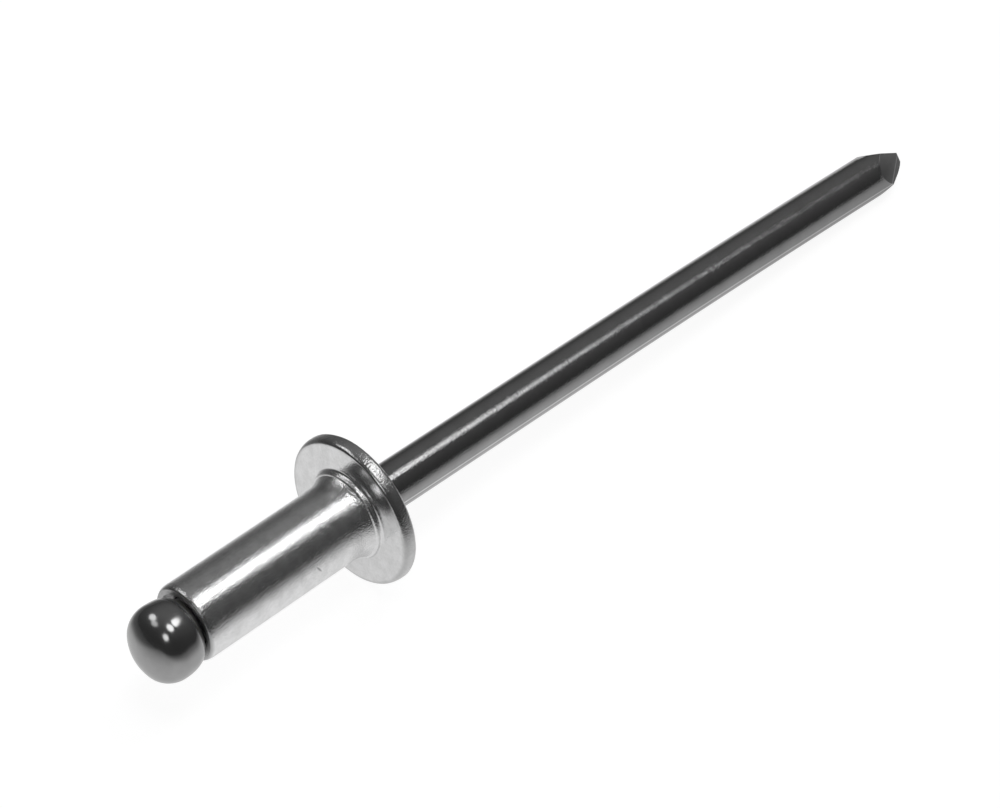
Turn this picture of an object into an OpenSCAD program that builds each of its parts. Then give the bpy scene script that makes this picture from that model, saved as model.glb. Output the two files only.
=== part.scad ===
// Open-end blind rivet, unset, lying on its flange rim and the tail of its mandrel.
// Lengths are in millimetres. Along the rivet's own axis, zero is the clamping face
// under the flange, the blind end is on the minus side and the tail on the plus side.

/* [Sleeve] */
// Diameter of the sleeve's barrel, an eighth of an inch
barrel_d = 3.175; // [3.0:0.005:3.3]
// Length of the sleeve under the flange
barrel_l = 8.25; // [6:0.25:12]
// Radius of the rounded outer edge at the blind end
lip_round = 0.14; // [0.05:0.01:0.2]
// Width of the flat ring between that edge and the mouth of the bore
lip_land = 0.17; // [0.08:0.01:0.25]

/* [Root under the flange] */
// Length over which the barrel swells towards the flange
swell_l = 0.62; // [0.4:0.01:0.8]
// How much the swell adds to the barrel's radius
swell_rise = 0.16; // [0.05:0.01:0.2]
// Radius of the rounded bead at the top of the swell
bead_round = 0.07; // [0.04:0.01:0.1]
// Radius of the hollow between the bead and the clamping face
root_fillet = 0.08; // [0.04:0.01:0.12]

/* [Flange] */
// Diameter of the flange
flange_d = 6.3; // [5.8:0.05:6.7]
// Height of the flange's rim, before the dome starts
rim_h = 0.6; // [0.45:0.01:0.75]
// Height of the whole flange, up to the land round the mandrel
flange_h = 1.05; // [0.9:0.05:1.3]
// Radius of the rim's edge on the clamping side
rim_round_front = 0.17; // [0.05:0.01:0.25]
// Radius of the rim's edge on the domed side
rim_round_back = 0.16; // [0.05:0.01:0.2]
// Diameter of the flat land at the top of the dome
land_d = 2.9; // [2.6:0.05:3.2]

/* [Mandrel] */
// Diameter of the mandrel's shank
mandrel_d = 1.92; // [1.8:0.01:1.95]
// Distance from the clamping face to the tip of the tail
tail_l = 32.4; // [26:0.1:36]
// Largest diameter of the mandrel's head
head_d = 3.1; // [2.9:0.01:3.15]
// Length of the band round the head, between its under side and its crown
head_band = 0.75; // [0.4:0.05:1.2]
// How much the band's radius tapers in towards the sleeve
band_taper = 0.1; // [0:0.01:0.15]
// Radius of the crown's middle
crown_r = 2.1; // [1.8:0.05:3]
// Radius that rounds the crown into the band
crown_corner = 0.95; // [0.6:0.05:1.1]
// How far off the wire's axis the head was struck
head_shift = 0.12; // [0:0.01:0.15]
// Direction of that shift round the axis, in degrees from straight down
head_shift_angle = -55; // [-180:5:180]

/* [Break neck] */
// Diameter of the mandrel at its break neck
neck_d = 1.24; // [1.1:0.02:1.5]
// Length of the notch that forms the neck
neck_l = 0.8; // [0.5:0.05:1]
// Distance from the blind end to the middle of the neck
neck_depth = 1.7; // [1.5:0.05:2.5]

/* [Crimp] */
// How far the sleeve's mouth is pressed into the mandrel, on the radius
crimp_bite = 0.05; // [0.03:0.01:0.08]
// Length of the waist that this leaves in the mandrel
crimp_l = 0.8; // [0.7:0.05:0.9]
// Depth of the waist's middle below the land at the top of the flange
crimp_drop = 0.3; // [0.2:0.05:0.35]
// How far the mouth flares out again, on the radius, from the waist to the land
crimp_flare = 0.12; // [0.08:0.01:0.2]

/* [Tail point] */
// Way that the point's first flat face looks, in degrees round the axis from straight down
point_turn = 140; // [0:5:355]
// Angle to the axis of each of the four faces, in degrees
point_angles = [19.6, 26.2, 14.4, 26.2]; // [10:0.1:40]
// Distance of each face from the axis at the tip, minus when it is past the axis
point_offsets = [0.2, -0.12, 0.355, 0.18]; // [-0.3:0.005:0.5]
// Length over which the tail also narrows in a cone at its tip
tip_cone_l = 1.5; // [0.8:0.05:2]
// Diameter of the cone's small end
tip_d = 0.5; // [0.3:0.02:1.2]

/* [Fits] */
// Radial clearance between the mandrel and the sleeve's bore
bore_clearance = 0.04; // [0.02:0.01:0.08]
// Radial clearance at the crimp, where the real pieces touch
crimp_clearance = 0.01; // [0.005:0.005:0.015]
// Gap between the mandrel's head and the mouth that it seats in
seat_clearance = 0.01; // [0.005:0.005:0.03]

/* [Hidden] */
round_fn = 96;
arc_step = 7.5;
over = 1;

barrel_r = barrel_d / 2;
flange_r = flange_d / 2;
land_r = land_d / 2;
mandrel_r = mandrel_d / 2;
head_r = head_d / 2;
neck_r = neck_d / 2;
tip_r = tip_d / 2;
bore_r = mandrel_r + bore_clearance;

// The bore opens at 45 degrees into a mouth that the mandrel's head seats in.
mouth_r = barrel_r - lip_round - lip_land;
mouth_top = mouth_r - bore_r - barrel_l;

// The swell is an arc that leaves the barrel without a step.
swell_turn = 2 * atan(swell_rise / swell_l);
swell_arc_r = swell_l / sin(swell_turn);
swell_top = -root_fillet - bead_round;
swell_start = swell_top - swell_l;
bead_r = barrel_r + swell_rise + bead_round;

// The dome is an arc that leaves the rim's rounded edge smoothly and is level at the land.
dome_run = flange_r - rim_round_back - land_r;
dome_rise = flange_h - rim_h;
dome_drop = dome_rise + rim_round_back;
dome_arc_r = (pow(dome_run, 2) + pow(dome_drop, 2) - pow(rim_round_back, 2)) / (2 * dome_rise);
dome_turn = atan(dome_run / (dome_arc_r - dome_drop));

// The head's under side is a 45 degree cone. Its near side lies the seat's gap off the mouth.
under_apex = mouth_top + bore_r - head_shift - seat_clearance * sqrt(2);
under_r = head_r - band_taper;
under_end = under_apex - under_r;
corner_centre = under_end - head_band;
crown_turn = asin((head_r - crown_corner) / (crown_r - crown_corner));
crown_centre = corner_centre + (crown_r - crown_corner) * cos(crown_turn);
neck_mid = neck_depth - barrel_l;

// The crimp's waist in the mandrel, and the pressed-in mouth that sits in it.
waist_r = mandrel_r - crimp_bite;
crimp_r = waist_r + crimp_clearance;
crimp_mid = flange_h - crimp_drop;

tip_start = tail_l - tip_cone_l;

// At rest the rim's rounded edge and the tail's last full diameter touch the ground.
rim_centre = rim_h - rim_round_back;
rest_run = tip_start - rim_centre;
rest_drop = flange_r - rim_round_back - mandrel_r;
rest_tilt = atan(rest_drop / rest_run) + asin(rim_round_back / norm([rest_run, rest_drop]));

// Points [radius, height] of an arc about a centre, from one angle to another.
function arc(centre, r, from, to) =
    let (steps = max(2, ceil(abs(to - from) / arc_step)))
    [for (i = [0 : steps]) let (a = from + (to - from) * i / steps)
        [centre[0] + r * cos(a), centre[1] + r * sin(a)]];

// Turn a model drawn along +Z into the lying one, with its tail along +X.
module lay_down() {
    rotate([0, 90 + rest_tilt, 0]) children();
}

module turned(outline) {
    rotate_extrude($fn = round_fn) polygon(outline);
}

// One cold-headed piece: barrel, root, flange and dome, with a bore right through.
module rivet_body() {
    outline = concat(
        [[bore_r, mouth_top], [mouth_r, -barrel_l]],
        arc([barrel_r - lip_round, lip_round - barrel_l], lip_round, -90, 0),
        arc([barrel_r + swell_arc_r, swell_start], swell_arc_r, 180, 180 - swell_turn),
        arc([bead_r - bead_round, swell_top + bead_round], bead_round, -60, 0),
        arc([bead_r + root_fillet, -root_fillet], root_fillet, 180, 90),
        arc([flange_r - rim_round_front, rim_round_front], rim_round_front, -90, 0),
        arc([flange_r - rim_round_back, rim_h - rim_round_back], rim_round_back, 0, 90 - dome_turn),
        arc([land_r, flange_h - dome_arc_r], dome_arc_r, 90 - dome_turn, 90),
        [
            [crimp_r + crimp_flare, flange_h],
            [crimp_r, crimp_mid],
            [bore_r, crimp_mid - crimp_l / 2]
        ]
    );
    color("silver") lay_down() turned(outline);
}

// Struck head: crown, band and the cone that runs on down inside the shank.
module head() {
    outline = concat(
        arc([0, crown_centre], crown_r, -90, crown_turn - 90),
        arc([head_r - crown_corner, corner_centre], crown_corner, crown_turn - 90, 0),
        [[under_r, under_end], [0, under_apex]]
    );
    rotate([0, 0, head_shift_angle]) translate([head_shift, 0, 0]) turned(outline);
}

// Wire of the mandrel from the head to the tail, with its break neck and crimped waist.
module shank() {
    turned([
        [0, under_end],
        [mandrel_r, under_end],
        [mandrel_r, neck_mid - neck_l / 2],
        [neck_r, neck_mid],
        [mandrel_r, neck_mid + neck_l / 2],
        [mandrel_r, crimp_mid - crimp_l / 2],
        [waist_r, crimp_mid],
        [mandrel_r, crimp_mid + crimp_l / 2],
        [mandrel_r, tip_start],
        [tip_r, tail_l],
        [0, tail_l]
    ]);
}

// The tail is pinched off into a four-sided point. Each die face leaves a flat on it.
module point_cut(turn, angle, offset) {
    reach = mandrel_r + over;
    top = tail_l + (reach + offset) / tan(angle);
    rotate([90, 0, turn])
        linear_extrude(height = 2 * reach, center = true)
            polygon([
                [-reach, top],
                [reach, tail_l - (reach - offset) / tan(angle)],
                [reach, top]
            ]);
}

module tail_point() {
    for (i = [0 : 3])
        point_cut(point_turn + 90 * i, point_angles[i], point_offsets[i]);
}

module mandrel() {
    color("dimgray") lay_down() difference() {
        union() {
            head();
            shank();
        }
        tail_point();
    }
}

rivet_body();
mandrel();
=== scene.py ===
"""Blind rivet lying on a pale table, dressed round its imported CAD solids."""
import math

import bmesh
import bpy
import numpy as np
from mathutils import Matrix, Vector


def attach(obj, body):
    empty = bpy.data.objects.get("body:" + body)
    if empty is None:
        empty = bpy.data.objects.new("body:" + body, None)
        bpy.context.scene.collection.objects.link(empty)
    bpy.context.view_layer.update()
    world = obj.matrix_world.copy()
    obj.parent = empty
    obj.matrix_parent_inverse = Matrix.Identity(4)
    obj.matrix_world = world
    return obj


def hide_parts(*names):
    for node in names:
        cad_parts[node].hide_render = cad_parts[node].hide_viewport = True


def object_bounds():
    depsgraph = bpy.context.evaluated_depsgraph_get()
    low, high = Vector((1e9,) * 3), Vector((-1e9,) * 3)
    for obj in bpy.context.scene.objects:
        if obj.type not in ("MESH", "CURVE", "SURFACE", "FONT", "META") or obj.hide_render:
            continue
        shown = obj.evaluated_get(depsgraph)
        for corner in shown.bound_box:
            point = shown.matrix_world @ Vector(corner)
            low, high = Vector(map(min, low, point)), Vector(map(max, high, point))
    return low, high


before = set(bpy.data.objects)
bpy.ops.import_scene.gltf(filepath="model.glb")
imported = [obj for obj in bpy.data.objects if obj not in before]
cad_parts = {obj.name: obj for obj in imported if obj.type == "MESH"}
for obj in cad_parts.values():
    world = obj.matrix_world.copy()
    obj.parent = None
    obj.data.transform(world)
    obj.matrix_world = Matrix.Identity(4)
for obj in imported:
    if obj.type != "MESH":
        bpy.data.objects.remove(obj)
cad_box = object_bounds()

# Units, in metres

MM = 0.001
MICRON = 1e-6

# Driving sizes of the rivet, in millimetres, as in the CAD source

BARREL_R = 3.175 / 2
BARREL_L = 8.25
LIP_ROUND = 0.14
LIP_LAND = 0.17
SWELL_L = 0.62
SWELL_RISE = 0.16
FLANGE_R = 6.3 / 2
RIM_H = 0.6
FLANGE_H = 1.05
RIM_FRONT = 0.17
RIM_BACK = 0.16
LAND_R = 2.9 / 2
WIRE_R = 1.92 / 2
TAIL_L = 32.4
HEAD_R = 3.1 / 2
HEAD_BAND = 0.75
BAND_TAPER = 0.1
CROWN_R = 2.1
CROWN_CORNER = 0.95
HEAD_SHIFT = 0.12
HEAD_SHIFT_TURN = math.radians(-55)
NECK_R = 1.24 / 2
NECK_L = 0.8
NECK_DEPTH = 1.7
CRIMP_BITE = 0.05
CRIMP_L = 0.8
CRIMP_DROP = 0.3
CRIMP_FLARE = 0.12
POINT_TURN = 140
POINT_ANGLES = (19.6, 26.2, 14.4, 26.2)
POINT_OFFSETS = (0.2, -0.12, 0.355, 0.18)
TIP_CONE_L = 1.5
TIP_R = 0.5 / 2
BORE_CLEARANCE = 0.04
CRIMP_CLEARANCE = 0.01
SEAT_CLEARANCE = 0.01

# Edges that are softer here than on the solids, in millimetres: how far the lip's and the rim's
# roundings run along the axis, the bead and the hollow under it, and the head's under edge

LIP_DRAW = 0.3
RIM_FRONT_DRAW = 0.34
BEAD_ROUND = 0.1
ROOT_FILLET = 0.13
UNDER_SOFT = 0.34
UNDER_TUCK = 0.16

# How the rivet lies: on its flange rim and on the end of its tail

TIP_START = TAIL_L - TIP_CONE_L
REST_RUN = TIP_START - (RIM_H - RIM_BACK)
REST_DROP = FLANGE_R - RIM_BACK - WIRE_R
TILT = math.atan(REST_DROP / REST_RUN) + math.asin(RIM_BACK / math.hypot(REST_RUN, REST_DROP))
AXIS = np.array((math.cos(TILT), 0.0, -math.sin(TILT)))
DOWN = np.array((-math.sin(TILT), 0.0, -math.cos(TILT)))
SIDE = np.array((0.0, 1.0, 0.0))

# Places along the axis, zero at the clamping face and plus towards the tail, and radii there

BLIND_END = -BARREL_L
BORE_R = WIRE_R + BORE_CLEARANCE
MOUTH_R = BARREL_R - LIP_ROUND - LIP_LAND
MOUTH_TOP = MOUTH_R - BORE_R - BARREL_L
SWELL_TOP = -ROOT_FILLET - BEAD_ROUND
SWELL_START = SWELL_TOP - SWELL_L
BEAD_R = BARREL_R + SWELL_RISE + BEAD_ROUND
CRIMP_R = WIRE_R - CRIMP_BITE + CRIMP_CLEARANCE
CRIMP_MID = FLANGE_H - CRIMP_DROP
UNDER_APEX = MOUTH_TOP + BORE_R - HEAD_SHIFT - SEAT_CLEARANCE * math.sqrt(2)
UNDER_R = HEAD_R - BAND_TAPER
UNDER_END = UNDER_APEX - UNDER_R
CORNER_CENTRE = UNDER_END - HEAD_BAND
CROWN_TURN = math.asin((HEAD_R - CROWN_CORNER) / (CROWN_R - CROWN_CORNER))
CROWN_CENTRE = CORNER_CENTRE + (CROWN_R - CROWN_CORNER) * math.cos(CROWN_TURN)
NECK_MID = NECK_DEPTH - BARREL_L

# How far the real rivet is from straight: the barrel's lean, and the wire's bow from BOW_START on

LEAN = 0.0205
BOW = 0.00055
BOW_START = 12.0

# The head's crown is struck at a slant and set back a little, and the whole head is out of round.
# This fades out over HEAD_FADE, and ends HEAD_FADE_PAST beyond the head's under edge.

CROWN_TILT = 0.05
CROWN_BACK = 0.018
HEAD_SQUEEZE = 0.006
HEAD_FADE = 0.3
HEAD_FADE_PAST = 0.1
HEAD_RIPPLE = {"seed": 8, "count": 6, "longest": 1.9}

# The flange is uneven outside UNEVEN_FROM, and is set in so that it never passes its solid

UNEVEN_FROM = 2.0
UNEVEN_FADE = 0.8
UNEVEN_DEPTH = 0.005
UNEVEN_INSET = 1.3
FLANGE_RIPPLE = {"seed": 3, "count": 7, "longest": 1.6}

# The one small nick in the barrel's near side: its middle, slant, half sizes and depth, and how far
# outside the barrel's radius a point may lie and still belong to the barrel

NICK_ALONG = -2.94
NICK_AWAY = 0.23
NICK_SLANT = math.radians(33)
NICK_WIDTH = 0.04
NICK_LENGTH = 0.19
NICK_DEPTH = 0.014
NICK_OUTSIDE = 0.01

# How fine the meshes are: degrees between points of an arc, steps round the axis, and rings
# inside each straight stretch

ARC_STEP = 5.0
HOLLOW_STEP = 10
LARGE_ARC_STEP = 2
CROWN_STEP = 1.5
SLEEVE_STEPS = 360
WIRE_STEPS = 240
LAND_RINGS = 3
BLIND_RINGS = 36
NICK_RINGS = 32
BARREL_RINGS = 18
FACE_RINGS = 16
RIM_RINGS = 2
BORE_RINGS = 8
BAND_RINGS = 7
UNDER_RINGS = 12
SEAT_RINGS = 5
SHANK_RINGS = 60
CONE_RINGS = 12
TIP_RINGS = 6

# Reach of the mesh tools, in metres, and the angle from which an edge stays sharp, in degrees

WELD_REACH = 1e-8
CUT_REACH = 1e-9
SHARP_ANGLE = 32


# Outlines

def arc(centre, radius, start, end, step=ARC_STEP):
    """Points (along, radius) of an arc about a centre; 0 degrees is outwards, 90 towards the tail."""
    count = max(2, math.ceil(abs(end - start) / step))
    turns = np.radians(np.linspace(start, end, count + 1))
    along = centre[0] + radius * np.sin(turns)
    out = centre[1] + radius * np.cos(turns)
    return [(float(a), float(r)) for a, r in zip(along, out)]


def line(start, end, count):
    """Points inside a straight stretch between two points, without its ends."""
    shares = np.linspace(0.0, 1.0, count + 2)[1:-1]
    return [(start[0] + (end[0] - start[0]) * t, start[1] + (end[1] - start[1]) * t) for t in shares]


def soft_corner(start, corner, end, count):
    """Points of a soft corner that leaves one straight and joins the next without a kink."""
    points = []
    for t in np.linspace(0.0, 1.0, count + 1)[1:]:
        near, middle, far = (1 - t) ** 2, 2 * t * (1 - t), t ** 2
        points.append(tuple(near * a + middle * b + far * c for a, b, c in zip(start, corner, end)))
    return points


def drawn_edge(start, radius, draw, depth):
    """A rounded edge up to a radius, drawn out along the axis from its start."""
    quarter = arc((0, 0), 1.0, -90, 0)
    return [(draw * (1 + a) + start, radius + depth * (r - 1)) for a, r in quarter]


def root_outline():
    """Swell, bead and hollow between the barrel and the clamping face."""
    swell_turn = 2 * math.atan(SWELL_RISE / SWELL_L)
    swell_r = SWELL_L / math.sin(swell_turn)
    swell_centre = (SWELL_START, BARREL_R + swell_r)
    swell = arc(swell_centre, -swell_r, 0, -math.degrees(swell_turn), LARGE_ARC_STEP)
    bead = arc((SWELL_TOP + BEAD_ROUND, BEAD_R - BEAD_ROUND), BEAD_ROUND, -60, 0)
    hollow = arc((-ROOT_FILLET, BEAD_R + ROOT_FILLET), -ROOT_FILLET, 0, -90, HOLLOW_STEP)
    return swell + bead + hollow


def dome_outline():
    """The rim's back edge, and the dome that leaves it smoothly and is level at the land."""
    run = FLANGE_R - RIM_BACK - LAND_R
    rise = FLANGE_H - RIM_H
    drop = rise + RIM_BACK
    dome_r = (run ** 2 + drop ** 2 - RIM_BACK ** 2) / (2 * rise)
    dome_deg = math.degrees(math.atan(run / (dome_r - drop)))
    back = arc((RIM_H - RIM_BACK, FLANGE_R - RIM_BACK), RIM_BACK, 0, 90 - dome_deg)
    return back + arc((FLANGE_H - dome_r, LAND_R), dome_r, 90 - dome_deg, 90, LARGE_ARC_STEP)


def sleeve_outline():
    """The sleeve's closed outline, from its bore round the lip, barrel, flange and dome."""
    lip = drawn_edge(BLIND_END, BARREL_R, LIP_DRAW, LIP_ROUND)
    nick_start = (NICK_ALONG - 2 * NICK_LENGTH, BARREL_R)
    nick_end = (NICK_ALONG + 2 * NICK_LENGTH, BARREL_R)
    root = root_outline()
    front = drawn_edge(0.0, FLANGE_R, RIM_FRONT_DRAW, RIM_FRONT)
    dome = dome_outline()
    crimp = [
        (FLANGE_H, CRIMP_R + CRIMP_FLARE),
        (CRIMP_MID, CRIMP_R),
        (CRIMP_MID - CRIMP_L / 2, BORE_R),
    ]
    points = [(MOUTH_TOP, BORE_R), (BLIND_END, MOUTH_R)]
    points += line(points[-1], lip[0], LAND_RINGS) + lip
    points += line(lip[-1], nick_start, BLIND_RINGS) + [nick_start]
    points += line(nick_start, nick_end, NICK_RINGS) + [nick_end]
    points += line(nick_end, root[0], BARREL_RINGS) + root
    points += line(root[-1], front[0], FACE_RINGS) + front
    points += line(front[-1], dome[0], RIM_RINGS) + dome
    points += line(dome[-1], crimp[0], LAND_RINGS) + crimp
    points += line(crimp[-1], points[0], BORE_RINGS)
    return points


def head_outline():
    """Crown, band and soft under edge of the head, down to the wire's full thickness."""
    crown_deg = math.degrees(CROWN_TURN)
    crown = arc((CROWN_CENTRE, 0.0), CROWN_R, -90, crown_deg - 90, CROWN_STEP)
    corner_centre = (CORNER_CENTRE, HEAD_R - CROWN_CORNER)
    corner = arc(corner_centre, CROWN_CORNER, crown_deg - 90, 0, LARGE_ARC_STEP)
    shares = np.linspace(0.0, 1 - UNDER_SOFT / HEAD_BAND, BAND_RINGS + 1)[1:]
    band = [(CORNER_CENTRE + HEAD_BAND * t, HEAD_R - BAND_TAPER * t ** 2) for t in shares]
    under = (UNDER_END, UNDER_R)
    tucked = (UNDER_END + UNDER_TUCK, UNDER_R - UNDER_TUCK)
    edge = soft_corner(band[-1], under, tucked, UNDER_RINGS)
    foot = (UNDER_APEX - WIRE_R, WIRE_R)
    return crown + corner[1:] + band + edge + line(edge[-1], foot, SEAT_RINGS) + [foot]


def mandrel_outline():
    """The mandrel's outline, from the middle of its crown to the middle of its tail."""
    cone_start = (TIP_START, WIRE_R)
    cone_end = (TAIL_L, TIP_R)
    middle = (TAIL_L, 0.0)
    points = head_outline()
    points += [
        (NECK_MID - NECK_L / 2, WIRE_R),
        (NECK_MID, NECK_R),
        (NECK_MID + NECK_L / 2, WIRE_R),
        (CRIMP_MID - CRIMP_L / 2, WIRE_R),
        (CRIMP_MID, WIRE_R - CRIMP_BITE),
        (CRIMP_MID + CRIMP_L / 2, WIRE_R),
    ]
    points += line(points[-1], cone_start, SHANK_RINGS) + [cone_start]
    points += line(cone_start, cone_end, CONE_RINGS) + [cone_end]
    points += line(cone_end, middle, TIP_RINGS) + [middle]
    return points


# Meshes

def placed(name, data):
    """A new object for a mesh, lamp or camera."""
    piece = bpy.data.objects.new(name, data)
    bpy.context.scene.collection.objects.link(piece)
    return piece


def turned(name, outline, steps, closed, form):
    """A mesh turned from an outline; form(along, x, y) may move its points. x is down, y sideways."""
    outline = np.array(outline)
    turns = np.linspace(0.0, 2 * math.pi, steps, endpoint=False)
    along = np.repeat(outline[:, 0:1], steps, axis=1)
    x = outline[:, 1:2] * np.cos(turns)[None, :]
    y = outline[:, 1:2] * np.sin(turns)[None, :]
    along, x, y = form(along, x, y)
    points = along[..., None] * AXIS + x[..., None] * DOWN + y[..., None] * SIDE
    rings = len(outline)
    faces = []
    for ring in range(rings if closed else rings - 1):
        low = ring * steps
        high = (ring + 1) % rings * steps
        for step in range(steps):
            after = (step + 1) % steps
            faces.append((low + step, low + after, high + after, high + step))
    mesh = bpy.data.meshes.new(name)
    mesh.from_pydata((points.reshape(-1, 3) * MM).tolist(), [], faces)
    return placed(name, mesh)


def weld(piece):
    """Joins the points that meet on the axis and makes all faces look outwards."""
    work = bmesh.new()
    work.from_mesh(piece.data)
    bmesh.ops.remove_doubles(work, verts=work.verts, dist=WELD_REACH)
    bmesh.ops.recalc_face_normals(work, faces=work.faces)
    work.to_mesh(piece.data)
    work.free()


def cut(piece, point, normal):
    """Takes off what lies beyond a plane and closes the cut with one flat face."""
    work = bmesh.new()
    work.from_mesh(piece.data)
    geometry = work.verts[:] + work.edges[:] + work.faces[:]
    result = bmesh.ops.bisect_plane(
        work, geom=geometry, dist=CUT_REACH, plane_co=point, plane_no=normal, clear_outer=True
    )
    rim = [e for e in result["geom_cut"] if isinstance(e, bmesh.types.BMEdge)]
    bmesh.ops.edgeloop_fill(work, edges=rim)
    bmesh.ops.recalc_face_normals(work, faces=work.faces)
    work.to_mesh(piece.data)
    work.free()


def bend(piece):
    """Lowers the barrel's blind end and bows the wire sideways, both slightly."""
    mesh = piece.data
    points = np.empty(len(mesh.vertices) * 3)
    mesh.vertices.foreach_get("co", points)
    points = points.reshape(-1, 3)
    along = points @ AXIS / MM
    lower = LEAN * np.maximum(-along, 0.0)
    side = BOW * np.maximum(along - BOW_START, 0.0) ** 2
    points = points - np.outer(side * MM, SIDE) - np.outer(lower * MM, (0.0, 0.0, 1.0))
    mesh.vertices.foreach_set("co", points.ravel())
    mesh.update()


def smooth(piece):
    """Smooth shading that keeps the sharp edges."""
    piece.data.polygons.foreach_set("use_smooth", [True] * len(piece.data.polygons))
    piece.data.set_sharp_from_angle(angle=math.radians(SHARP_ANGLE))


# Small departures from a perfect turned form

def ripple(a, b, c, seed, count, longest):
    """A soft random field from a few crossing waves, about -1 to 1."""
    chance = np.random.default_rng(seed)
    total = np.zeros_like(a)
    for _ in range(count):
        way = chance.normal(size=3)
        way /= np.linalg.norm(way)
        wave = 2 * math.pi / (longest * chance.uniform(0.5, 1.0))
        phase = chance.uniform(0, 2 * math.pi)
        total += np.sin(wave * (a * way[0] + b * way[1] + c * way[2]) + phase)
    return total / math.sqrt(count)


def nick_depth(along, x):
    """Depth of the nick; it starts higher than it ends up, because the barrel is lowered later."""
    beside = along - NICK_ALONG
    above = -x - NICK_AWAY - LEAN * abs(NICK_ALONG)
    across = (beside * math.cos(NICK_SLANT) + above * math.sin(NICK_SLANT)) / NICK_WIDTH
    lengthwise = (beside * math.sin(NICK_SLANT) - above * math.cos(NICK_SLANT)) / NICK_LENGTH
    return NICK_DEPTH * np.exp(-across ** 2 - lengthwise ** 2)


def sleeve_form(along, x, y):
    """A slight unevenness of the cold-headed flange, and the nick in the barrel."""
    radius = np.hypot(x, y)
    turn = np.arctan2(y, x)
    flange = np.clip((radius - UNEVEN_FROM) / UNEVEN_FADE, 0.0, 1.0)
    wobble = ripple(along, x, y, **FLANGE_RIPPLE) - UNEVEN_INSET
    radius = radius + flange * UNEVEN_DEPTH * wobble
    on_barrel = radius < BARREL_R + NICK_OUTSIDE
    radius = radius - nick_depth(along, x) * (y < 0) * on_barrel
    return along, radius * np.cos(turn), radius * np.sin(turn)


def mandrel_form(along, x, y):
    """The head struck off the wire's axis, at a slant and a little out of round."""
    share = np.clip((UNDER_APEX - WIRE_R - along) / (UNDER_R - WIRE_R), 0.0, 1.0)
    head = np.clip((UNDER_END + HEAD_FADE_PAST - along) / HEAD_FADE, 0.0, 1.0)
    squeeze = 1 - head * HEAD_SQUEEZE * (1 + ripple(along, x, y, **HEAD_RIPPLE))
    x = x * squeeze + HEAD_SHIFT * math.cos(HEAD_SHIFT_TURN) * share
    y = y * squeeze + HEAD_SHIFT * math.sin(HEAD_SHIFT_TURN) * share
    return along + (CROWN_BACK - CROWN_TILT * x) * head, x, y


# Shader nodes. A mask is 1 where it holds and 0 elsewhere, and lengths are in millimetres.

# The sockets of a colour Mix node, which share their names with those of its other kinds
MIX_FACTOR = 0
MIX_A = 6
MIX_B = 7
MIX_RESULT = 2

# The part of a noise's range that holds most of it, its roughness, and how blue the palest grey is
NOISE_RANGE = (0.3, 0.7)
NOISE_ROUGHNESS = 0.6
COOL = 1.005


def material(name):
    """A material with no nodes."""
    made = bpy.data.materials.new(name)
    made.use_nodes = True
    made.node_tree.nodes.clear()
    return made


def node(tree, kind, **values):
    """A new node with some of its settings."""
    made = tree.nodes.new(kind)
    for key, value in values.items():
        setattr(made, key, value)
    return made


def calculate(tree, operation, first, second=None, third=None):
    """One sum with numbers or sockets."""
    made = node(tree, "ShaderNodeMath", operation=operation)
    for number, value in enumerate((first, second, third)):
        if value is None:
            continue
        if isinstance(value, (int, float)):
            made.inputs[number].default_value = value
        else:
            tree.links.new(value, made.inputs[number])
    return made.outputs[0]


def product(tree, first, second):
    """Two values multiplied."""
    return calculate(tree, "MULTIPLY", first, second)


def adjusted(tree, value, *changes):
    """A value with each change added, given as a pair of a mask and an amount."""
    for mask, amount in changes:
        value = calculate(tree, "MULTIPLY_ADD", mask, amount, value)
    return value


def rivet_place(tree):
    """Place on the rivet: along its axis, sideways and away from the table, also as one vector."""
    place = node(tree, "ShaderNodeTexCoord")
    turn = node(tree, "ShaderNodeMapping")
    turn.inputs["Rotation"].default_value = (0.0, -TILT, 0.0)
    turn.inputs["Scale"].default_value = (1 / MM, 1 / MM, 1 / MM)
    tree.links.new(place.outputs["Object"], turn.inputs["Vector"])
    return turn.outputs["Vector"], *split(tree, turn.outputs["Vector"])


def split(tree, place):
    """The three parts of a place."""
    made = node(tree, "ShaderNodeSeparateXYZ")
    tree.links.new(place, made.inputs["Vector"])
    return made.outputs["X"], made.outputs["Y"], made.outputs["Z"]


def from_axis(tree, sideways, away):
    """Distance from the rivet's axis."""
    squares = product(tree, sideways, sideways)
    squares = calculate(tree, "MULTIPLY_ADD", away, away, squares)
    return calculate(tree, "SQRT", squares)


def noise(tree, place, scale, detail, stretch=(1.0, 1.0, 1.0)):
    """Fine noise; scale is in features per millimetre."""
    sizing = node(tree, "ShaderNodeMapping")
    sizing.inputs["Scale"].default_value = stretch
    tree.links.new(place, sizing.inputs["Vector"])
    made = node(tree, "ShaderNodeTexNoise")
    made.inputs["Scale"].default_value = scale
    made.inputs["Detail"].default_value = detail
    made.inputs["Roughness"].default_value = NOISE_ROUGHNESS
    tree.links.new(sizing.outputs["Vector"], made.inputs["Vector"])
    return made.outputs["Fac"]


def spread(tree, value, low, high):
    """A noise spread over a range."""
    made = node(tree, "ShaderNodeMapRange")
    made.inputs["From Min"].default_value = NOISE_RANGE[0]
    made.inputs["From Max"].default_value = NOISE_RANGE[1]
    made.inputs["To Min"].default_value = low
    made.inputs["To Max"].default_value = high
    tree.links.new(value, made.inputs["Value"])
    return made.outputs["Result"]


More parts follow.
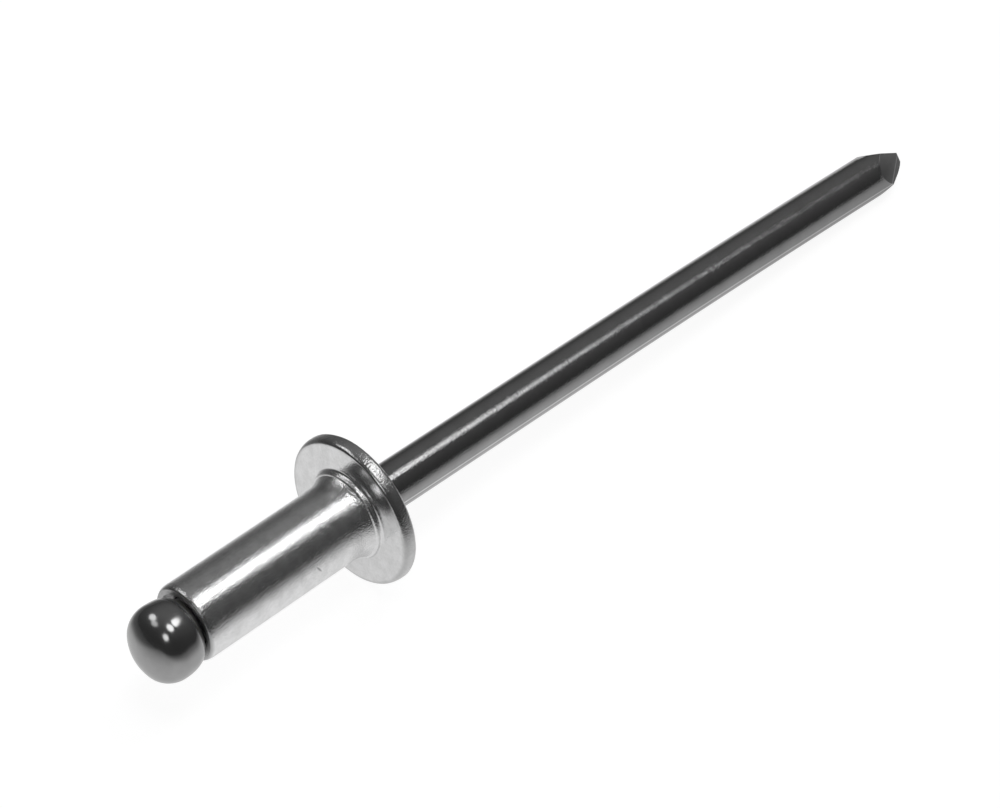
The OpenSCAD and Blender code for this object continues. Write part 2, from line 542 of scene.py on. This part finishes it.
def ramp(tree, value, span, stops):
    """Grey that follows a value through stops of (value, grey), all within a span."""
    start, end = span
    made = node(tree, "ShaderNodeValToRGB")
    share = node(tree, "ShaderNodeMapRange")
    share.inputs["From Min"].default_value = start
    share.inputs["From Max"].default_value = end
    tree.links.new(value, share.inputs["Value"])
    tree.links.new(share.outputs["Result"], made.inputs["Fac"])
    marks = made.color_ramp.elements
    marks.remove(marks[1])
    for number, (place, grey) in enumerate(stops):
        position = (place - start) / (end - start)
        if number == 0:
            mark = marks[0]
            mark.position = position
        else:
            mark = marks.new(position)
        mark.color = (grey, grey, grey, 1.0)
    return made.outputs["Color"]


def grey_mix(tree, value, low, high):
    """Neutral colour between two greys."""
    made = node(tree, "ShaderNodeMix", data_type="RGBA")
    made.inputs[MIX_A].default_value = (low, low, low, 1.0)
    made.inputs[MIX_B].default_value = (high, high, high * COOL, 1.0)
    tree.links.new(value, made.inputs[MIX_FACTOR])
    return made.outputs[MIX_RESULT]


def dimmed(tree, colour, share):
    """A colour multiplied by a share."""
    made = node(tree, "ShaderNodeMix", data_type="RGBA", blend_type="MULTIPLY")
    made.inputs[MIX_FACTOR].default_value = 1.0
    tree.links.new(colour, made.inputs[MIX_A])
    tree.links.new(share, made.inputs[MIX_B])
    return made.outputs[MIX_RESULT]


def bump(tree, height, microns, before=None):
    """Bump whose height is given in microns, on top of the one before."""
    made = node(tree, "ShaderNodeBump")
    made.inputs["Strength"].default_value = 1.0
    made.inputs["Distance"].default_value = microns * MICRON
    tree.links.new(height, made.inputs["Height"])
    if before is not None:
        tree.links.new(before, made.inputs["Normal"])
    return made.outputs["Normal"]


def relief(tree, place, layer, mask, before=None):
    """Bump of one layer of fine noise, where its mask holds."""
    scale, detail, stretch, microns = layer
    height = calculate(tree, "SUBTRACT", noise(tree, place, scale, detail, stretch), 0.5)
    return bump(tree, product(tree, height, mask), microns, before)


def metal(name):
    """A metal and its shader, with nothing but the shader's output linked."""
    made = material(name)
    tree = made.node_tree
    shader = node(tree, "ShaderNodeBsdfPrincipled")
    shader.inputs["Metallic"].default_value = 1.0
    out = node(tree, "ShaderNodeOutputMaterial")
    tree.links.new(shader.outputs["BSDF"], out.inputs["Surface"])
    return made, tree, shader


# Aluminium of the sleeve

# Greys and roughness, each from its least to its most
ALUMINIUM_GREY = (0.72, 0.85)
ALUMINIUM_ROUGHNESS = (0.13, 0.19)

# Noises: features per millimetre and detail
CLOUDS = (1.8, 4.0)
SPECKLE = (9.0, 3.0)
SPECKLE_SHARE = 0.5
MOTTLE = (5.0, 4.0)

# Masks: the span of each and its stops of (place, value). They hold at the lip and the root, on the
# clamping face, on the rim and in the nick.
ENDS_MASK = ((-9.0, 0.0), [
    (BLIND_END + 0.15, 1.0), (BLIND_END + 0.4, 0.0), (SWELL_START, 0.0), (SWELL_START + 0.25, 1.0),
])
FACE_MASK = ((-1.0, 1.0), [(-0.06, 0.0), (-0.03, 1.0), (0.1, 1.0), (0.2, 0.0)])
RIM_MASK = ((2.0, 4.0), [(FLANGE_R - 0.25, 0.0), (FLANGE_R - 0.1, 1.0)])
NICK_MASK = ((0.0, 2.0), [(0.2, 1.0), (1.4, 0.0)])

# Painted shade at the lip's end next to the head, and what the masks add to brightness and to roughness
LIP_PAINTED_SHADE = ((-9.0, 0.0), [
    (BLIND_END + 0.01, 0.45), (BLIND_END + 0.05, 0.6), (BLIND_END + 0.15, 1.0),
])
RIM_DARKER = -0.25
FACE_DARKER = -0.08
NICK_DARKER = -0.45
WORKED_ROUGHER = 0.04
FACE_SMOOTHER = -0.03

# How much the lip and the root count as worked next to the rim, and what the face adds to the grain
ENDS_SHARE = 0.6
FACE_GRAIN = -0.75

# Fine relief: features per millimetre, detail, stretch and microns
DRAWN_LINES = (18.0, 3.0, (0.12, 1.0, 1.0), 2.5)
GRAIN = (17.0, 1.0, (1.0, 1.0, 1.0), 12.0)
WORKED_GRAIN = (15.0, 1.0, (1.0, 1.0, 1.0), 8.0)


def nick_mask(tree, along, sideways, away):
    """The nick's place on the barrel's near side."""
    beside = calculate(tree, "SUBTRACT", along, NICK_ALONG)
    above = calculate(tree, "SUBTRACT", away, NICK_AWAY)
    across = product(tree, beside, math.cos(NICK_SLANT) / NICK_WIDTH)
    across = adjusted(tree, across, (above, math.sin(NICK_SLANT) / NICK_WIDTH))
    lengthwise = product(tree, beside, math.sin(NICK_SLANT) / NICK_LENGTH)
    lengthwise = adjusted(tree, lengthwise, (above, -math.cos(NICK_SLANT) / NICK_LENGTH))
    reach = product(tree, across, across)
    reach = calculate(tree, "MULTIPLY_ADD", lengthwise, lengthwise, reach)
    near_side = calculate(tree, "LESS_THAN", sideways, 0.0)
    return product(tree, ramp(tree, reach, *NICK_MASK), near_side)


def aluminium():
    """Bright drawn barrel, glossier on the clamping face and grainier at its lip, root and rim, with
    painted shade at the lip's end.
    """
    made, tree, shader = metal("bright_aluminium")
    place, along, sideways, away = rivet_place(tree)
    face = ramp(tree, along, *FACE_MASK)
    rim = ramp(tree, from_axis(tree, sideways, away), *RIM_MASK)
    nick = nick_mask(tree, along, sideways, away)
    worked = calculate(tree, "SUBTRACT", ramp(tree, along, *ENDS_MASK), face)
    worked = calculate(tree, "MAXIMUM", product(tree, worked, ENDS_SHARE), rim)

    patches = adjusted(tree, noise(tree, place, *CLOUDS), (noise(tree, place, *SPECKLE), SPECKLE_SHARE))
    patches = calculate(tree, "SUBTRACT", patches, SPECKLE_SHARE / 2)
    colour = grey_mix(tree, spread(tree, patches, 0.0, 1.0), *ALUMINIUM_GREY)
    # The lip's end next to the head is darkened here as painted shade in the gap under the head
    tone_and_painted_light = ramp(tree, along, *LIP_PAINTED_SHADE)
    tone_and_painted_light = adjusted(tree, tone_and_painted_light, (rim, RIM_DARKER), (face, FACE_DARKER), (nick, NICK_DARKER))
    tree.links.new(dimmed(tree, colour, tone_and_painted_light), shader.inputs["Base Color"])

    rough = spread(tree, noise(tree, place, *MOTTLE), *ALUMINIUM_ROUGHNESS)
    rough = adjusted(tree, rough, (worked, WORKED_ROUGHER), (face, FACE_SMOOTHER))
    tree.links.new(rough, shader.inputs["Roughness"])

    off_face = calculate(tree, "SUBTRACT", 1.0, face)
    grained = calculate(tree, "MULTIPLY_ADD", face, FACE_GRAIN, 1.0)
    normal = relief(tree, place, DRAWN_LINES, off_face)
    normal = relief(tree, place, GRAIN, grained, normal)
    normal = relief(tree, place, WORKED_GRAIN, worked, normal)
    tree.links.new(normal, shader.inputs["Normal"])
    return made


# Steel of the mandrel

# Greys and roughness, each from its least to its most
STEEL_GREY = (0.34, 0.9)
STEEL_ROUGHNESS = (0.15, 0.19)

# Patches in the grey: features per millimetre, detail, range, and share beside the die line's painted
# highlight
STEEL_PATCHES = (1.3, 4.0)
PATCHES_RANGE = (0.0, 0.8)
PATCHES_SHARE = 0.1
DIE_LINE_HIGHLIGHT_SHARE = 0.9

# The die line runs along the shank at this turn, from sideways towards the side away from the table
DIE_LINE_TURN = math.radians(-175.3)
DIE_LINE_MICRONS = -2.0

# Masks, as above: beside the die line, along the shank, under the head, and inside the wire's radius
# where the tail is pinched
# The die line's mask also carries its painted highlight
DIE_LINE_AND_HIGHLIGHT_MASK = ((0.0, 0.1), [(0.008, 1.0), (0.03, 0.0)])
SHANK_MASK = ((-10.0, 0.0), [(BLIND_END - 0.35, 0.0), (BLIND_END + 0.25, 1.0)])
UNDER_MASK = ((-10.0, 0.0), [
    (BLIND_END - 0.37, 0.0), (BLIND_END - 0.25, 1.0), (BLIND_END + 0.35, 1.0), (BLIND_END + 0.55, 0.0),
])
PINCHED_MASK = ((0.0, 1.0), [(WIRE_R - 0.03, 1.0), (WIRE_R - 0.015, 0.0)])

# What the masks add to brightness, where under the head it is painted light in the gap, and to
# roughness
POINT_DARKER = -0.5
UNDER_PAINTED_LIGHT = 0.8
SHANK_SMOOTHER = -0.06
POINT_ROUGHER = 0.3
UNDER_ROUGHER = 0.25

# Fine relief: features per millimetre, detail, stretch and microns
WIRE_LINES = (20.0, 3.0, (0.06, 1.0, 1.0), 2.5)
CROSS_STROKES = (18.0, 1.0, (1.0, 0.35, 0.35), 3.0)
WIRE_GRAIN = (17.0, 1.0, (1.0, 1.0, 1.0), 6.0)


def die_line_and_highlight_mask(tree, along, sideways, away):
    """One straight line along the shank, from the clamping face to the tail: the die line's groove and
    its painted highlight.
    """
    turn_sin = math.sin(DIE_LINE_TURN)
    turn_cos = math.cos(DIE_LINE_TURN)
    across = adjusted(tree, product(tree, sideways, -turn_sin), (away, turn_cos))
    outwards = adjusted(tree, product(tree, sideways, turn_cos), (away, turn_sin))
    made = ramp(tree, calculate(tree, "ABSOLUTE", across), *DIE_LINE_AND_HIGHLIGHT_MASK)
    made = product(tree, made, calculate(tree, "GREATER_THAN", outwards, 0.0))
    return product(tree, made, calculate(tree, "GREATER_THAN", along, 0.0))


def pinched_mask(tree, along, sideways, away):
    """The tail's cut faces, which lie further in than the bowed wire's own surface."""
    bow = calculate(tree, "SUBTRACT", along, BOW_START)
    bow = product(tree, bow, bow)
    across = adjusted(tree, sideways, (bow, BOW))
    made = ramp(tree, from_axis(tree, across, away), *PINCHED_MASK)
    return product(tree, made, calculate(tree, "GREATER_THAN", along, BOW_START))


def steel():
    """Dark drawn wire: glossier shank with a die line that carries a painted highlight, duller head and
    cut faces, and painted light under the head.
    """
    made, tree, shader = metal("drawn_steel")
    place, along, sideways, away = rivet_place(tree)
    die_line_and_highlight = die_line_and_highlight_mask(tree, along, sideways, away)
    shank = ramp(tree, along, *SHANK_MASK)
    under = ramp(tree, along, *UNDER_MASK)
    point = pinched_mask(tree, along, sideways, away)

    patches = spread(tree, noise(tree, place, *STEEL_PATCHES), *PATCHES_RANGE)
    # The die line's paler grey is a painted highlight; its groove is the bump further down
    highlight_and_patches = adjusted(tree, product(tree, die_line_and_highlight, DIE_LINE_HIGHLIGHT_SHARE), (patches, PATCHES_SHARE))
    colour = grey_mix(tree, highlight_and_patches, *STEEL_GREY)
    tone_and_painted_light = calculate(tree, "MULTIPLY_ADD", point, POINT_DARKER, 1.0)
    # The head's under side and seat are made paler as painted light, lifting the shade in the gap at
    # the mouth
    tone_and_painted_light = adjusted(tree, tone_and_painted_light, (under, UNDER_PAINTED_LIGHT))
    tree.links.new(dimmed(tree, colour, tone_and_painted_light), shader.inputs["Base Color"])

    rough = spread(tree, noise(tree, place, *MOTTLE), *STEEL_ROUGHNESS)
    changes = ((shank, SHANK_SMOOTHER), (point, POINT_ROUGHER), (under, UNDER_ROUGHER))
    tree.links.new(adjusted(tree, rough, *changes), shader.inputs["Roughness"])

    normal = relief(tree, place, WIRE_LINES, shank)
    normal = relief(tree, place, CROSS_STROKES, shank, normal)
    normal = relief(tree, place, WIRE_GRAIN, shank, normal)
    normal = bump(tree, die_line_and_highlight, DIE_LINE_MICRONS, normal)
    tree.links.new(normal, shader.inputs["Normal"])
    return made


# Stage, in metres

FLOOR_REACH = 3.0
FLOOR_GREY = 0.3
FLOOR_SEEN = 0.9

# Painted glow of the floor seen in the metal: along y, of which the first is slanted with x, and along
# x
FLOOR_SLANT = 0.33
FLOOR_FRONT = ((-0.1, 0.03), [
    (-0.1, 0.05), (-0.037, 0.15), (-0.025, 0.17), (-0.018, 0.28), (-0.012, 0.4), (-0.0095, 0.5),
    (-0.007, 0.6), (-0.004, 0.68), (0.0, 0.7),
])
FLOOR_BACK = ((-0.1, 0.03), [(0.007, 1.0), (0.012, 0.3), (0.018, 0.08), (0.03, 0.05)])
FLOOR_LEFT = ((-0.2, 0.0), [
    (-0.2, 0.1), (-0.08, 0.2), (-0.04, 0.36), (-0.025, 0.58), (-0.018, 0.8), (-0.0145, 1.0),
])

# The room's grey follows how near a direction is to the palest one, from -1 opposite it to 1
ROOM_PALEST = (0.45, 0.35, 0.82)
ROOM = ((-1.0, 1.0), [
    (-1.0, 0.05), (0.0, 0.06), (0.3, 0.075), (0.62, 0.105), (0.73, 0.125), (0.9, 0.18), (1.0, 0.21),
])

# Lamps: direction from the rivet, angular radius in degrees and brightness
LAMP_DISTANCE = 0.6
LAMPS = (
    ("key_lamp", (0.4547, -0.0962, 0.8854), 10.5, 2.9),
    ("top_lamp", (-0.019, -0.178, 0.984), 12.5, 2.6),
    ("near_lamp", (-0.65, -0.266, 0.711), 9.5, 2.0),
    ("far_lamp", (-0.213, 0.684, 0.697), 9.5, 1.8),
    ("corner_lamp", (-0.448, 0.491, 0.747), 8.5, 1.1),
)

# Camera: its turn and height, its distance from the rivet's origin, how far that origin lies from
# the picture's middle, in millimetres, and its lens
CAMERA_TURN = math.radians(-45.14)
CAMERA_HEIGHT = math.radians(46.15)
CAMERA_DISTANCE = 124.636
ORIGIN_RIGHT = -5.732
ORIGIN_DOWN = 4.142
CAMERA_LENS = 118.8
CAMERA_SENSOR = 36.0
CAMERA_CLIP = (0.01, 20.0)


def floor_material():
    """Pale floor, white for the camera, with a painted glow that dims away from the rivet where metal
    mirrors it.
    """
    made = material("pale_floor")
    tree = made.node_tree
    path = node(tree, "ShaderNodeLightPath")
    place = node(tree, "ShaderNodeTexCoord")
    forwards, sideways, _ = split(tree, place.outputs["Object"])
    slanted = calculate(tree, "MULTIPLY_ADD", forwards, -FLOOR_SLANT, sideways)
    # Painted pool of light on the floor, seen only in the metal: brightest near the rivet, dark far
    # behind it
    mirrored = product(tree, ramp(tree, slanted, *FLOOR_FRONT), ramp(tree, forwards, *FLOOR_LEFT))
    mirrored = product(tree, mirrored, ramp(tree, sideways, *FLOOR_BACK))
    glossy = path.outputs["Is Glossy Ray"]
    either = calculate(tree, "MAXIMUM", glossy, path.outputs["Is Transmission Ray"])
    mirrored = product(tree, mirrored, either)
    glow = node(tree, "ShaderNodeEmission")
    seen = adjusted(tree, mirrored, (path.outputs["Is Camera Ray"], FLOOR_SEEN))
    tree.links.new(seen, glow.inputs["Strength"])
    plain = node(tree, "ShaderNodeBsdfDiffuse")
    plain.inputs["Color"].default_value = (FLOOR_GREY, FLOOR_GREY, FLOOR_GREY, 1.0)
    both = node(tree, "ShaderNodeAddShader")
    out = node(tree, "ShaderNodeOutputMaterial")
    tree.links.new(glow.outputs["Emission"], both.inputs[0])
    tree.links.new(plain.outputs["BSDF"], both.inputs[1])
    tree.links.new(both.outputs["Shader"], out.inputs["Surface"])
    return made


def floor():
    """Large level floor that the rivet lies on."""
    low, high, z = -FLOOR_REACH, FLOOR_REACH, cad_box[0].z
    corners = [(low, low, z), (high, low, z), (high, high, z), (low, high, z)]
    mesh = bpy.data.meshes.new("floor")
    mesh.from_pydata(corners, [], [(0, 1, 2, 3)])
    mesh.materials.append(floor_material())
    placed("floor", mesh)


def surroundings():
    """Dim plain studio room, palest high up behind the tail, and white where the camera sees it."""
    world = bpy.data.worlds.new("room")
    bpy.context.scene.world = world
    world.use_nodes = True
    tree = world.node_tree
    tree.nodes.clear()
    way = node(tree, "ShaderNodeTexCoord")
    towards = node(tree, "ShaderNodeVectorMath", operation="DOT_PRODUCT")
    towards.inputs[1].default_value = ROOM_PALEST
    tree.links.new(way.outputs["Generated"], towards.inputs[0])
    room = node(tree, "ShaderNodeBackground")
    tree.links.new(ramp(tree, towards.outputs["Value"], *ROOM), room.inputs["Color"])
    white = node(tree, "ShaderNodeBackground")
    white.inputs["Strength"].default_value = 1.0
    path = node(tree, "ShaderNodeLightPath")
    choose = node(tree, "ShaderNodeMixShader")
    out = node(tree, "ShaderNodeOutputWorld")
    tree.links.new(path.outputs["Is Camera Ray"], choose.inputs["Fac"])
    tree.links.new(room.outputs["Background"], choose.inputs[1])
    tree.links.new(white.outputs["Background"], choose.inputs[2])
    tree.links.new(choose.outputs["Shader"], out.inputs["Surface"])


def softbox(name, towards, spread_deg, radiance):
    """Round soft lamp in a direction from the rivet, of an angular radius and a brightness."""
    way = Vector(towards).normalized()
    radius = LAMP_DISTANCE * math.tan(math.radians(spread_deg))
    lamp = bpy.data.lights.new(name, "AREA")
    lamp.shape = "DISK"
    lamp.size = 2 * radius
    lamp.energy = radiance * math.pi * math.pi * radius ** 2
    piece = placed(name, lamp)
    piece.location = way * LAMP_DISTANCE
    piece.rotation_mode = "QUATERNION"
    piece.rotation_quaternion = way.to_track_quat("Z", "Y")


def camera():
    """Camera at the photograph's viewing angle, found from the rivet's own circles and edges."""
    right = Vector((math.cos(CAMERA_TURN), math.sin(CAMERA_TURN), 0.0))
    level = math.cos(CAMERA_HEIGHT)
    ahead = Vector((
        -math.sin(CAMERA_TURN) * level,
        math.cos(CAMERA_TURN) * level,
        -math.sin(CAMERA_HEIGHT),
    ))
    up = right.cross(ahead)
    place = (-ORIGIN_RIGHT * right + ORIGIN_DOWN * up - CAMERA_DISTANCE * ahead) * MM
    data = bpy.data.cameras.new("camera")
    data.sensor_width = CAMERA_SENSOR
    data.lens = CAMERA_LENS
    data.clip_start, data.clip_end = CAMERA_CLIP
    piece = placed("camera", data)
    piece.matrix_world = Matrix((
        (right.x, up.x, -ahead.x, place.x),
        (right.y, up.y, -ahead.y, place.y),
        (right.z, up.z, -ahead.z, place.z),
        (0.0, 0.0, 0.0, 1.0),
    ))
    bpy.context.scene.camera = piece


# The two pieces

def sleeve():
    """The sleeve: barrel, root, flange and dome, with its bore."""
    piece = turned("rivet_sleeve", sleeve_outline(), SLEEVE_STEPS, True, sleeve_form)
    weld(piece)
    bend(piece)
    smooth(piece)
    piece.data.materials.append(aluminium())
    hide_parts("rivet_body")
    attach(piece, "root")


def mandrel():
    """The mandrel: head, neck and wire, with its tail pinched to a four-sided point."""
    piece = turned("mandrel_wire", mandrel_outline(), WIRE_STEPS, False, mandrel_form)
    weld(piece)
    for number, (angle, offset) in enumerate(zip(POINT_ANGLES, POINT_OFFSETS)):
        turn = math.radians(POINT_TURN + 90 * number)
        out = DOWN * math.cos(turn) + SIDE * math.sin(turn)
        normal = out * math.cos(math.radians(angle)) + AXIS * math.sin(math.radians(angle))
        cut(piece, Vector((AXIS * TAIL_L + out * offset) * MM), Vector(normal))
    bend(piece)
    smooth(piece)
    piece.data.materials.append(steel())
    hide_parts("mandrel")
    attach(piece, "root")


camera()
surroundings()
floor()
for lamp_values in LAMPS:
    softbox(*lamp_values)
sleeve()
mandrel()

bpy.context.scene.view_settings.view_transform = "Standard"
